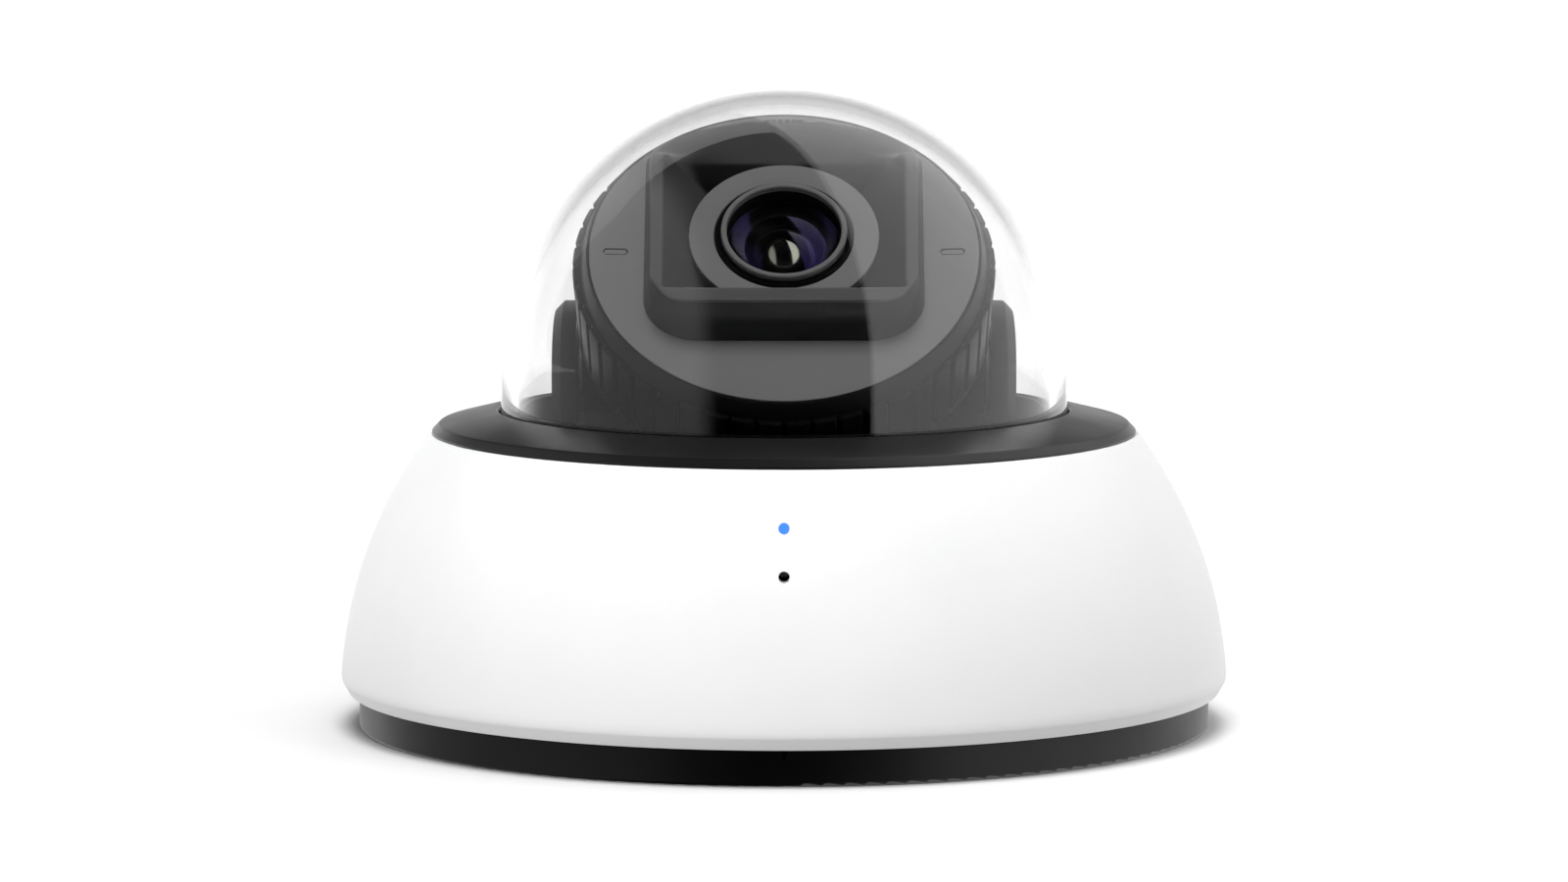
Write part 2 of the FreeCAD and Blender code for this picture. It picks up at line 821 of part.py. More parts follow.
def hood_loft(name, low, high, low_outline, high_outline):
    body = new_body(name)
    sketches = []
    for height, outline in ((low, low_outline), (high, high_outline)):
        sketch = new_sketch(body, "XY_Plane", height)
        draw_hood_outline(sketch, *outline)
        sketches.append(sketch)
    loft = body.newObject("PartDesign::AdditiveLoft", name + "_loft")
    loft.Profile = sketches[0]
    loft.Sections = [sketches[1]]
    loft.Ruled = True
    return body


# Hood outlines: half width, lower edge, upper edge and corner radius
HOOD_FOOT = (24.3, -20.0, 30.0, 9.5)
HOOD_TOP = (22.9, -17.05, 30.0, 6.0)
FUNNEL_FLOOR = (13.1, -12.5, 13.1, 2.0)
FUNNEL_MOUTH = (23.5, -14.5, 23.5, 4.5)
HOOD_TALL = 10.0


def lens_hood():
    """The open-topped hood around the lens: walls left, right and below, a ramp above. Its
    corners are cut back so that they clear the liner as the head turns."""
    block = hood_loft("hood_block", d.face_front, d.hood_front, HOOD_FOOT, HOOD_TOP)
    disc = cylinder(d.hood_circle, HOOD_TALL, 0, 0, d.face_front)
    clear = common(disc, ball(d.hood_reach))
    ramp = padded("hood_ramp", "YZ_Plane", -40, 80, outline=[
        (16.2, d.hood_front + 1),
        (16.2, d.hood_front),
        (20.3, 35.3),
        (33.0, 31.3),
        (45.0, 31.3),
        (45.0, d.hood_front + 1),
    ])
    funnel = hood_loft("hood_funnel", d.hood_floor, d.hood_front + 1, FUNNEL_FLOOR, FUNNEL_MOUTH)
    undercut = cylinder(d.flange_radius + d.clearance, 2.0, 0, 0, d.hood_floor)
    lens_room = cylinder(d.barrel_radius + d.clearance, HOOD_TALL, 0, 0, d.face_front - 1)
    return on_head(cut(common(block, clear), [union([ramp, funnel, undercut, lens_room])]))


def lens_flange():
    back = d.flange_front - 1.7
    return on_head(ring("flange_ring", d.barrel_radius + 0.1, d.flange_radius, back, d.flange_front))


def lens_holder():
    return on_head(turned("holder_tube", [
        (9, 3.6),
        (22.5, 3.6),
        (22.5, 6),
        (LENS_TUBE, 6),
        (LENS_TUBE - 1, 26),
        (d.barrel_radius + d.running_gap, 26),
        (d.barrel_radius + d.running_gap, 8),
        (9, 8),
    ]))


def lens_barrel():
    return on_head(turned("barrel_tube", [
        (6.5, 10),
        (d.barrel_radius, 10),
        (d.barrel_radius, d.barrel_front),
        (d.front_ring_inner, d.barrel_front),
        (d.front_ring_inner, 31.5),
        (LENS_SEAT, 31.5),
        (LENS_SEAT, 16),
        (6.5, 16),
    ]))


def lens_front_ring():
    front = d.barrel_front + 1.1
    return on_head(ring("front_ring", d.front_ring_inner, d.front_ring_outer, d.barrel_front, front))


def cap_radius(edge, rise):
    """The radius of a ball cap from its edge radius and its height."""
    edge = as_size(edge)
    return (edge * edge + rise * rise) / (2 * rise)


def front_lens():
    edge = d.front_ring_inner - 0.05
    hollow = 6.2
    return on_head(turned("front_glass", [
        (0, 33.2),
        (hollow, 31.6, -cap_radius(hollow, 1.6)),
        (edge, 31.6),
        (edge, 34.0),
        (0, 36.8, cap_radius(edge, 2.8)),
    ]))


def lens_spacer():
    return on_head(turned("spacer_cone", [
        (3.9, 26),
        (LENS_SEAT - 0.05, 26),
        (LENS_SEAT - 0.05, 31.4),
        (6.2, 31.4),
        (3.9, 27.5),
    ]))


def inner_lens():
    edge = LENS_SEAT - 0.1
    bulge = cap_radius(edge, 1.8)
    return on_head(turned("inner_glass", [
        (0, 20.4),
        (edge, 22.2, bulge),
        (edge, 24.0),
        (0, 25.8, bulge),
    ]))


def rear_lens():
    edge = LENS_SEAT - 0.1
    return on_head(turned("rear_glass", [
        (0, 16.1),
        (edge, 16.1),
        (edge, 17.6),
        (0, 19.4, cap_radius(edge, 1.8)),
    ]))


def sensor_board():
    """A box's corner is its own place, so a group of one takes the tilt."""
    return on_head(group([box((-14, -14, 2.0), (14, 14, 3.6))]))


def image_sensor():
    package = box((-6, -4.5, 3.6), (6, 4.5, 5.4))
    window = box((-4.8, -3.4, 5.1), (4.8, 3.4, 6.0))
    return on_head(cut(package, [window]))


def head_retainer():
    high = -(d.bearing_half + d.clearance)
    washer = ring("head_ring", 19, SHELL_SHOULDER, high - RETAINER_THICK, high)
    places = around(HEAD_SCREW_CIRCLE, HEAD_SCREW_ANGLES)
    return on_head(cut(washer, [cylinder(1.0, 4, x, y, high - 3) for x, y in places]))


def head_screws():
    seat = -(d.bearing_half + d.clearance + RETAINER_THICK)
    places = around(HEAD_SCREW_CIRCLE, HEAD_SCREW_ANGLES)
    return on_head(group([screw(x, y, seat, "down", HEAD_SCREW) for x, y in places]))


def rear_heat_sink():
    high = -(d.bearing_half + d.clearance + RETAINER_THICK)
    plug = cylinder(20.4, 6, 0, 0, high - 6)
    pitch = 5.0
    grooves = []
    for index in range(-3, 4):
        middle = (index + 0.5) * pitch
        grooves.append(box((middle - 1.6, -25, high - 7), (middle + 1.6, 25, high - 2)))
    return on_head(cut(plug, grooves))


# ---------------------------------------------------------------- cover body

BOSS_RADIUS = 4.6
HEAD_ROOM = 3.1


def cover_wall_radius(arc, height):
    """The radius of the cover's rounded wall at a height."""
    rise = height - d.cover_arc_z
    return (arc * arc - rise * rise).root() - d.cover_arc_r


def housing_cover():
    outer = d.cover_arc
    inner = d.cover_arc - d.cover_wall
    ceiling = d.cover_top - d.cover_wall
    wall = turned("cover_wall", [
        (cover_wall_radius(inner, d.cover_low), d.cover_low, -inner),
        (d.cover_low_radius, d.cover_low),
        (cover_wall_radius(outer, d.cover_bevel_top), d.cover_bevel_top),
        (cover_wall_radius(outer, d.cover_top), d.cover_top, outer),
        (d.cover_bore, d.cover_top),
        (d.cover_bore, ceiling),
        (cover_wall_radius(inner, ceiling), ceiling),
    ])
    low = d.post_top + d.clearance
    bosses = [cylinder(BOSS_RADIUS, ceiling + 1 - low, x, y, low) for x, y in POSTS]
    tools = [cylinder(1.8, 30, x, y, low - 1) for x, y in POSTS]
    tools += [cylinder(d.pinhole_radius, 30, 0, -55, height, "front")
              for height in (d.led_height, d.sound_hole_height)]
    tools += [cylinder(1.2, 2, x, y, ceiling) for x, y in around(d.clamp_circle, CLAMP_ANGLES)]
    return cut(union([wall, *bosses]), tools)


def trim_ring():
    band = turned("trim_band", [
        (d.trim_inner, d.cover_top),
        (d.trim_outer, d.cover_top),
        (d.trim_outer, d.cover_top + 0.25),
        (d.trim_shoulder, d.trim_shoulder_top),
        (d.trim_inner + 0.4, d.trim_top - 0.1),
        (d.trim_inner, d.trim_top - 0.4),
    ])
    return cut(band, [cylinder(HEAD_ROOM, 10, x, y, d.cover_top - 1) for x, y in POSTS])


def dome_bubble():
    inner = d.dome_outer - d.dome_wall
    return turned("dome_shell", [
        (0, d.pivot_height + d.dome_outer, d.dome_outer),
        (0, d.pivot_height + inner),
        (inner, d.pivot_height, -inner),
        (inner, d.flange_low),
        (d.dome_flange, d.flange_low),
        (d.dome_flange, d.flange_top),
        (d.dome_outer + 0.2, d.flange_top),
        (d.dome_outer + 0.2, d.trim_top),
        (d.dome_outer, d.trim_top + 2.7),
        (d.dome_outer, d.pivot_height),
    ])


def dome_gasket():
    return ring("gasket_ring", d.dome_outer + 0.5, d.dome_flange, d.flange_top, d.cover_top)


def dome_clamp_ring():
    plate = ring("clamp_plate", 49.8, d.clamp_outer, d.clamp_low, d.flange_low)
    tools = [cylinder(5.2, 6, x, y, d.clamp_low - 1) for x, y in POSTS]
    tools += [cylinder(1.3, 6, x, y, d.clamp_low - 1) for x, y in around(d.clamp_circle, CLAMP_ANGLES)]
    return cut(plate, tools)


def clamp_screws():
    places = around(d.clamp_circle, CLAMP_ANGLES)
    return group([screw(x, y, d.clamp_low, "down", CLAMP_SCREW) for x, y in places])


def cover_screws():
    return group([screw(x, y, d.cover_top, "up", COVER_SCREW) for x, y in POSTS])


def status_light_pipe():
    """A clear rod from the light up to the cover's face, with a collar inside."""
    face = cover_wall_radius(d.cover_arc, d.led_height)
    tip = d.front_board_face + 2.0
    rod = cylinder(d.pinhole_radius - d.running_gap, face - tip, 0, -tip, d.led_height, "front")
    collar = cylinder(2.0, 1.0, 0, -tip - 0.8, d.led_height, "front")
    return union([rod, collar])


def microphone_boot():
    """A rubber tube from the microphone to the sound hole, cut to the wall it meets."""
    tip = d.front_board_face + 4.2
    inner = cover_wall_radius(d.cover_arc - d.cover_wall, d.sound_hole_height)
    tube = cylinder(3.0, inner - tip + 1.5, 0, -tip, d.sound_hole_height, "front")
    bore = cylinder(d.pinhole_radius, 20, 0, -tip + 1, d.sound_hole_height, "front")
    level = d.cover_low + 10
    ceiling = d.cover_top - d.cover_wall
    inside = d.cover_arc - d.cover_wall
    room = turned("boot_room", [
        (0, level),
        (cover_wall_radius(inside, level), level),
        (cover_wall_radius(inside, ceiling), ceiling, inside),
        (0, ceiling),
    ])
    return cut(common(tube, room), [bore])


# ---------------------------------------------------------------- build and write

BUILDERS = [
    mounting_base, cable_grommet, main_board, board_screws, processor_heat_sink,
    ethernet_jack, ethernet_contacts, sd_card_socket, reset_switch, front_board,
    status_led, microphone, camera_tray, tray_screws, inner_liner, pan_thrust_washer,
    reset_button,
    turntable, pan_retainer, pan_screws, yoke, yoke_screws,
    tilt_frame, tilt_pivots, tilt_friction_washers,
    head_shell, knurl_ring, head_bezel, faceplate, lens_hood, lens_flange, lens_holder,
    lens_barrel, lens_front_ring, front_lens, lens_spacer, inner_lens, rear_lens,
    sensor_board, image_sensor, head_retainer, head_screws, rear_heat_sink,
    housing_cover, trim_ring, dome_bubble, dome_gasket, dome_clamp_ring, clamp_screws,
    cover_screws, status_light_pipe, microphone_boot,
]


def check_document(pieces):
    """Stops before anything is written if any object or piece has failed."""
    for item in doc.Objects:
        if "Invalid" in item.State or "Error" in item.State:
            raise RuntimeError(f"{item.Label} failed: {item.State}")
    for piece in pieces:
        shape = piece.Shape
        if shape.isNull() or not shape.isValid() or not shape.Solids:
            raise RuntimeError(f"{piece.Label} has no valid solid")


def build():
    pieces = []
    for builder in BUILDERS:
        piece = builder()
        piece.Label = builder.__name__
        pieces.append(piece)
    doc.recompute()
    check_document(pieces)
    os.makedirs("parts", exist_ok=True)
    for piece in pieces:
        piece.Shape.exportStep(f"parts/{piece.Label}.step")
        print(f"{piece.Label}: {len(piece.Shape.Solids)} solids, {piece.Shape.Volume:.1f} mm3")


build()
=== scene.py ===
import json
import math

import bmesh
import bpy
from mathutils import Matrix, Vector

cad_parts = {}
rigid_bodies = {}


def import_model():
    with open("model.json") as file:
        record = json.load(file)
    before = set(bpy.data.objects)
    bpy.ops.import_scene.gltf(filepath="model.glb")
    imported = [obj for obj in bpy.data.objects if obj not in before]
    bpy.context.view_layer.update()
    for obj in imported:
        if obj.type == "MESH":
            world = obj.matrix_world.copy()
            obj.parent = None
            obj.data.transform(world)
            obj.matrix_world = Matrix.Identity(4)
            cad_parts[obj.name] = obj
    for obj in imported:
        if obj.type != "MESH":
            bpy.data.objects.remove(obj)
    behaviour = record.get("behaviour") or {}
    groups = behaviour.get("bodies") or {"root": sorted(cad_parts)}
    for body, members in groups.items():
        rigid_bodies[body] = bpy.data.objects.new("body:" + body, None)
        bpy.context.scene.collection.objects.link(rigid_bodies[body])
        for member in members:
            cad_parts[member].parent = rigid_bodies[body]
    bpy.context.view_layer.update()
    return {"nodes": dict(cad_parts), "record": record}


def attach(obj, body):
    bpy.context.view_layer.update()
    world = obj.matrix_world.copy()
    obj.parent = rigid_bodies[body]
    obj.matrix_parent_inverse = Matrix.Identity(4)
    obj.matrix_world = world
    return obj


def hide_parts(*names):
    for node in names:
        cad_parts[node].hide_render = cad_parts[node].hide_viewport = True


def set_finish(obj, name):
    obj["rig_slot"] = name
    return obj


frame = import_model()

# Looks for the dome camera. Sizes are in millimetres until a mesh is made, and follow the
# CAD model's; every piece is drawn about its own axis and then put in the shared frame.

MM = 0.001

PIVOT_HEIGHT = 63.7
LENS_ELEVATION = 46.0
ON_HEAD = (Matrix.Translation((0, 0, PIVOT_HEIGHT * MM))
           @ Matrix.Rotation(math.radians(90 - LENS_ELEVATION), 4, "X"))
UPRIGHT = Matrix.Identity(4)

SMOOTH_BELOW = math.radians(32)
ROUND_SEGMENTS = 256
ROD_SEGMENTS = 48
LENS_SEGMENTS = 160
HOOD_RIM = 39.0


# ---------------------------------------------------------------- mesh helpers

def add_piece(name, mesh, body, slot, replaced=(), smooth_below=SMOOTH_BELOW):
    """Puts a mesh in the scene as a piece that rides on a body."""
    mesh.set_sharp_from_angle(angle=smooth_below)
    piece = bpy.data.objects.new(name, mesh)
    bpy.context.scene.collection.objects.link(piece)
    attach(piece, body)
    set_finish(piece, slot)
    if replaced:
        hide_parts(*replaced)
    return piece


def mesh_from(name, bm, matrix=UPRIGHT):
    """Turns a bmesh in millimetres into a mesh in metres, placed by matrix."""
    bmesh.ops.remove_doubles(bm, verts=bm.verts, dist=1e-5)
    bmesh.ops.recalc_face_normals(bm, faces=bm.faces)
    bm.transform(matrix @ Matrix.Scale(MM, 4))
    mesh = bpy.data.meshes.new(name)
    bm.to_mesh(mesh)
    bm.free()
    mesh.polygons.foreach_set("use_smooth", [True] * len(mesh.polygons))
    return mesh


def arc(centre, radius, start, end, steps):
    """Points on an arc, with the angles in degrees from the first axis."""
    points = []
    for step in range(steps + 1):
        angle = math.radians(start + (end - start) * step / steps)
        points.append((centre[0] + radius * math.cos(angle), centre[1] + radius * math.sin(angle)))
    return points


def rounded(outline, steps=4):
    """A closed outline whose corners given as (x, y, radius) are turned into arcs."""
    points = []
    count = len(outline)
    for index, corner in enumerate(outline):
        if len(corner) == 2 or corner[2] == 0:
            points.append((corner[0], corner[1]))
            continue
        here = Vector(corner[:2])
        before = (Vector(outline[index - 1][:2]) - here)
        after = (Vector(outline[(index + 1) % count][:2]) - here)
        half = before.angle(after) / 2
        reach = min(corner[2] / math.tan(half), 0.49 * before.length, 0.49 * after.length)
        start = here + before.normalized() * reach
        end = here + after.normalized() * reach
        for step in range(steps + 1):
            share = step / steps
            one = start.lerp(here, share)
            two = here.lerp(end, share)
            points.append(tuple(one.lerp(two, share)))
    return points


def lathe(outline, segments=192, dip=None):
    """Turns a closed (radius, height) outline about Z. dip(angle) pulls in the points that
    carry a third value, by that share of it."""
    bm = bmesh.new()
    rings = []
    for point in outline:
        share = point[2] if len(point) == 3 else 0.0
        if point[0] < 1e-6:
            rings.append([bm.verts.new((0, 0, point[1]))])
            continue
        ring = []
        for index in range(segments):
            angle = 2 * math.pi * index / segments
            radius = point[0] - (share * dip(angle) if dip else 0.0)
            ring.append(bm.verts.new((radius * math.cos(angle), radius * math.sin(angle), point[1])))
        rings.append(ring)
    for index, ring in enumerate(rings):
        join_rings(bm, rings[index - 1], ring)
    return bm


def join_rings(bm, one, two):
    """Faces between two rings, either of which may be a single point on the axis."""
    if len(one) == 1 and len(two) == 1:
        return
    count = max(len(one), len(two))
    for index in range(count):
        after = (index + 1) % count
        corners = [one[index % len(one)], one[after % len(one)]]
        corners += [two[after % len(two)], two[index % len(two)]]
        bm.faces.new(list(dict.fromkeys(corners)))


def carved(mesh, cutters):
    """The mesh with closed cutter meshes taken out of it, all in metres."""
    target = bpy.data.objects.new("carving", mesh)
    bpy.context.scene.collection.objects.link(target)
    helpers = []
    for cutter in cutters:
        helper = bpy.data.objects.new("cutter", cutter)
        bpy.context.scene.collection.objects.link(helper)
        helpers.append(helper)
        step = target.modifiers.new("cut", "BOOLEAN")
        step.operation = "DIFFERENCE"
        step.solver = "EXACT"
        step.object = helper
    depsgraph = bpy.context.evaluated_depsgraph_get()
    result = bpy.data.meshes.new_from_object(target.evaluated_get(depsgraph))
    for thing in [target, *helpers]:
        bpy.data.objects.remove(thing)
    result.name = mesh.name
    return result


def rod(radius, low, high, at=(0, 0), matrix=UPRIGHT):
    """A round bar along Z, as a mesh."""
    bm = lathe([(0, low), (radius, low), (radius, high), (0, high)], ROD_SEGMENTS)
    bmesh.ops.translate(bm, verts=bm.verts, vec=(at[0], at[1], 0))
    return mesh_from("rod", bm, matrix)


def facing_front(height):
    """A matrix that lays Z along -Y at a height, for holes in the cover's front."""
    return Matrix.Translation((0, 0, height * MM)) @ Matrix.Rotation(math.radians(90), 4, "X")


# ---------------------------------------------------------------- materials

NOISE_DETAIL = 3.0
FINE_GRAIN = 2200
GLASS_ROUGHNESS = 0.012
# Where the hood's painted rim highlight fades in, in millimetres below the rim.
PAINTED_RIM_LIGHT_FADE = (0.45, 0.15)

class Shader:
    """A procedural material: Principled, with noise for its colour, roughness and bump."""

    def __init__(self, name, color, roughness, metallic=0.0, specular=0.5):
        self.material = bpy.data.materials.new(name)
        self.material.use_nodes = True
        self.nodes = self.material.node_tree.nodes
        self.links = self.material.node_tree.links
        self.shader = self.nodes["Principled BSDF"]
        self.color = color
        self.roughness = roughness
        self.shader.inputs["Base Color"].default_value = (*color, 1)
        self.shader.inputs["Roughness"].default_value = roughness
        self.shader.inputs["Metallic"].default_value = metallic
        self.shader.inputs["Specular IOR Level"].default_value = specular
        self.place = self.nodes.new("ShaderNodeTexCoord").outputs["Object"]

    def noise(self, scale, stretch=None):
        place = self.place
        if stretch:
            mapping = self.nodes.new("ShaderNodeMapping")
            mapping.inputs["Scale"].default_value = stretch
            self.links.new(place, mapping.inputs["Vector"])
            place = mapping.outputs["Vector"]
        node = self.nodes.new("ShaderNodeTexNoise")
        node.inputs["Scale"].default_value = scale
        node.inputs["Detail"].default_value = NOISE_DETAIL
        self.links.new(place, node.inputs["Vector"])
        return node.outputs["Fac"]

    def spread(self, value, low, high):
        node = self.nodes.new("ShaderNodeMapRange")
        node.inputs["From Min"].default_value = 0.3
        node.inputs["From Max"].default_value = 0.7
        node.inputs["To Min"].default_value = low
        node.inputs["To Max"].default_value = high
        self.links.new(value, node.inputs["Value"])
        return node.outputs["Result"]

    def vary_color(self, scale, amount):
        mix = self.nodes.new("ShaderNodeMix")
        mix.data_type = "RGBA"
        low, high = 1 - amount, 1 + amount
        mix.inputs["A"].default_value = (*[c * low for c in self.color], 1)
        mix.inputs["B"].default_value = (*[min(c * high, 1.0) for c in self.color], 1)
        self.links.new(self.noise(scale), mix.inputs["Factor"])
        self.links.new(mix.outputs["Result"], self.shader.inputs["Base Color"])
        return self

    def vary_roughness(self, scale, amount):
        low, high = self.roughness - amount, self.roughness + amount
        self.links.new(self.spread(self.noise(scale), low, high), self.shader.inputs["Roughness"])
        return self

    def grain(self, scale, height, stretch=None):
        """A fine raised grain; height is in millimetres."""
        bump = self.nodes.new("ShaderNodeBump")
        bump.inputs["Strength"].default_value = 1.0
        bump.inputs["Distance"].default_value = height * MM
        self.links.new(self.noise(scale, stretch), bump.inputs["Height"])
        self.links.new(bump.outputs["Normal"], self.shader.inputs["Normal"])
        return self


def moulded(name, color, roughness, grain=0.012, specular=0.5):
    made = Shader(name, color, roughness, specular=specular)
    made.vary_color(35, 0.04).vary_roughness(60, 0.04).grain(FINE_GRAIN, grain)
    return made.material


def hood_plastic(name, color, painted_rim_light_color, roughness, specular):
    """Dark plastic that is painted lighter at its outermost edge, measured along the lens axis. The
    lighter edge is a painted highlight for light catching the rim. The darker rest is partly the
    plastic's own colour and partly painted shade.
    """
    made = Shader(name, color, roughness, specular=specular)
    made.vary_roughness(60, 0.04).grain(FINE_GRAIN, 0.003)
    axis = made.nodes.new("ShaderNodeVectorMath")
    axis.operation = "DOT_PRODUCT"
    axis.inputs[1].default_value = ON_HEAD.to_3x3() @ Vector((0, 0, 1))
    made.links.new(made.place, axis.inputs[0])
    offset = PIVOT_HEIGHT * MM * math.sin(math.radians(LENS_ELEVATION))
    # Painted highlight: the colour turns lighter near the hood's rim along the lens axis.
    edge = made.nodes.new("ShaderNodeMapRange")
    edge.interpolation_type = "SMOOTHSTEP"
    edge.inputs["From Min"].default_value = (HOOD_RIM - PAINTED_RIM_LIGHT_FADE[0]) * MM + offset
    edge.inputs["From Max"].default_value = (HOOD_RIM - PAINTED_RIM_LIGHT_FADE[1]) * MM + offset
    made.links.new(axis.outputs["Value"], edge.inputs["Value"])
    mix = made.nodes.new("ShaderNodeMix")
    mix.data_type = "RGBA"
    mix.inputs["A"].default_value = (*color, 1)
    mix.inputs["B"].default_value = (*painted_rim_light_color, 1)
    made.links.new(edge.outputs["Result"], mix.inputs["Factor"])
    made.links.new(mix.outputs["Result"], made.shader.inputs["Base Color"])
    return made.material


def metal(name, color, roughness, grain=0.004):
    made = Shader(name, color, roughness, metallic=1.0)
    made.vary_color(90, 0.06).vary_roughness(200, 0.07).grain(900, grain, stretch=(1, 1, 12))
    return made.material


def rubber(name, color):
    made = Shader(name, color, 0.75, specular=0.35)
    made.vary_color(60, 0.08).vary_roughness(150, 0.06).grain(1500, 0.02)
    return made.material


def glass(name, tint, ior, sheen=(1.0, 1.0, 1.0)):
    """Clear glass or plastic that lets lamps light what is behind it."""
    made = Shader(name, tint, 0.0)
    made.shader.inputs["Transmission Weight"].default_value = 1.0
    made.shader.inputs["IOR"].default_value = ior
    made.shader.inputs["Specular Tint"].default_value = (*sheen, 1)
    smear = made.spread(made.noise(140), 0.0, GLASS_ROUGHNESS)
    made.links.new(smear, made.shader.inputs["Roughness"])
    through = made.nodes.new("ShaderNodeBsdfTransparent")
    through.inputs["Color"].default_value = (*tint, 1)
    path = made.nodes.new("ShaderNodeLightPath")
    mix = made.nodes.new("ShaderNodeMixShader")
    output = made.nodes["Material Output"]
    made.links.new(path.outputs["Is Shadow Ray"], mix.inputs[0])
    made.links.new(made.shader.outputs[0], mix.inputs[1])
    made.links.new(through.outputs[0], mix.inputs[2])
    made.links.new(mix.outputs[0], output.inputs["Surface"])
    return made.material


def glowing(name, color, strength):
    made = Shader(name, [0.1 * part for part in color], 0.25)
    made.shader.inputs["Emission Color"].default_value = (*color, 1)
    made.shader.inputs["Emission Strength"].default_value = strength
    made.vary_roughness(300, 0.05).grain(2500, 0.002)
    return made.material


def circuit_board(name):
    """Solder mask with faint copper tracks showing as a raised pattern."""
    made = Shader(name, (0.012, 0.09, 0.045), 0.32)
    made.vary_color(120, 0.25).vary_roughness(250, 0.06)
    tracks = made.nodes.new("ShaderNodeTexBrick")
    tracks.inputs["Scale"].default_value = 180
    tracks.inputs["Mortar Size"].default_value = 0.03
    made.links.new(made.place, tracks.inputs["Vector"])
    bump = made.nodes.new("ShaderNodeBump")
    bump.inputs["Distance"].default_value = 0.03 * MM
    made.links.new(tracks.outputs["Fac"], bump.inputs["Height"])
    made.links.new(bump.outputs["Normal"], made.shader.inputs["Normal"])
    return made.material


MATERIALS = {
    "cover_white": moulded("cover_white", (0.80, 0.80, 0.805), 0.42, grain=0.004, specular=0.3),
    "trim_black": moulded("trim_black", (0.012, 0.012, 0.012), 0.34, grain=0.003),
    "base_black": moulded("base_black", (0.005, 0.005, 0.005), 0.42, grain=0.01, specular=0.4),
    "dome_clear": glass("dome_clear", (1.0, 1.0, 1.0), 1.5),
    "yoke_black": moulded("yoke_black", (0.008, 0.008, 0.008), 0.42, grain=0.004, specular=0.3),
    "head_black": moulded("head_black", (0.006, 0.006, 0.006), 0.36, grain=0.004, specular=0.2),
    "face_grey": moulded("face_grey", (0.17, 0.17, 0.171), 0.55, grain=0.006, specular=0.3),
    # The hood's lighter rim colour is a painted highlight on its front edge, and its near-black body is
    # partly painted shade.
    "hood_grey": hood_plastic("hood_grey", (0.005, 0.005, 0.005), (0.085, 0.085, 0.087), 0.34, 0.3),
    "ring_grey": moulded("ring_grey", (0.15, 0.15, 0.152), 0.4, grain=0.002, specular=0.3),
    "barrel_black": moulded("barrel_black", (0.002, 0.002, 0.002), 0.5, grain=0.004, specular=0.2),
    "lens_glass": glass("lens_glass", (1.0, 1.0, 1.0), 1.6, sheen=(0.22, 0.14, 0.75)),
    "liner_black": moulded("liner_black", (0.004, 0.004, 0.004), 0.5, grain=0.01, specular=0.25),
    "tray_grey": moulded("tray_grey", (0.05, 0.05, 0.052), 0.55),
    "board_green": circuit_board("board_green"),
    "component_black": moulded("component_black", (0.015, 0.015, 0.015), 0.5),
    "jack_shield": metal("jack_shield", (0.62, 0.62, 0.6), 0.32),
    "contact_gold": metal("contact_gold", (0.85, 0.62, 0.25), 0.25),
    "heat_sink": metal("heat_sink", (0.6, 0.61, 0.62), 0.4),
    "screw_steel": metal("screw_steel", (0.55, 0.55, 0.56), 0.3),
    "screw_black": metal("screw_black", (0.04, 0.04, 0.04), 0.4),
    "washer_nylon": moulded("washer_nylon", (0.6, 0.59, 0.55), 0.5),
    "rubber_black": rubber("rubber_black", (0.012, 0.012, 0.012)),
    "button_red": moulded("button_red", (0.35, 0.02, 0.015), 0.4),
    "led_blue": glowing("led_blue", (0.1, 0.35, 1.0), 1.5),
    "light_pipe": glowing("light_pipe", (0.085, 0.31, 1.0), 0.97),
    "lens_core": metal("lens_core", (0.5, 0.5, 0.48), 0.12, grain=0.0005),
    "floor_white": moulded("floor_white", (0.815, 0.815, 0.815), 0.8, grain=0.0, specular=0.0),
}


def paint_all():
    """Gives every CAD node and every new piece the material of its slot."""
    slots = {entry["node"]: entry["material_slot"] for entry in frame["record"]["subparts"]}
    for node, thing in frame["nodes"].items():
        use_material(thing, slots[node])
    for thing in bpy.context.scene.objects:
        if thing.type == "MESH" and thing.name not in frame["nodes"] and "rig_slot" in thing:
            use_material(thing, thing.name if thing.name in MATERIALS else thing["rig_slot"])


def use_material(thing, slot):
    if not thing.data.materials:
        thing.data.materials.append(MATERIALS[slot])
    for index in range(len(thing.data.materials)):
        thing.data.materials[index] = MATERIALS[slot]


# ---------------------------------------------------------------- cover

COVER_TOP = 53.0
COVER_LOW = 6.6
COVER_ARC = 81.2
COVER_ARC_IN = 1.2
COVER_ARC_Z = 4.0
COVER_WALL = 2.8
POSTS = ((33.7, 48.2), (-33.7, 48.2))
POST_TOP = 38.3
BOSS_TOP = 50.4
BOSS_RADIUS = 4.6
SCREW_HOLE = 1.8
SCREW_HEAD_HOLE = 3.1
PINHOLE = 0.98
PINHOLE_HEIGHTS = (43.6, 35.7)
TRIM_INNER = 51.3
TRIM_OUTER = 63.3


def wall_points(radius, low, high, steps):
    """Points up the cover's rounded wall."""
    points = []
    for step in range(steps + 1):
        height = low + (high - low) * step / steps
        points.append((math.sqrt(radius ** 2 - (height - COVER_ARC_Z) ** 2) - COVER_ARC_IN, height))
    return points


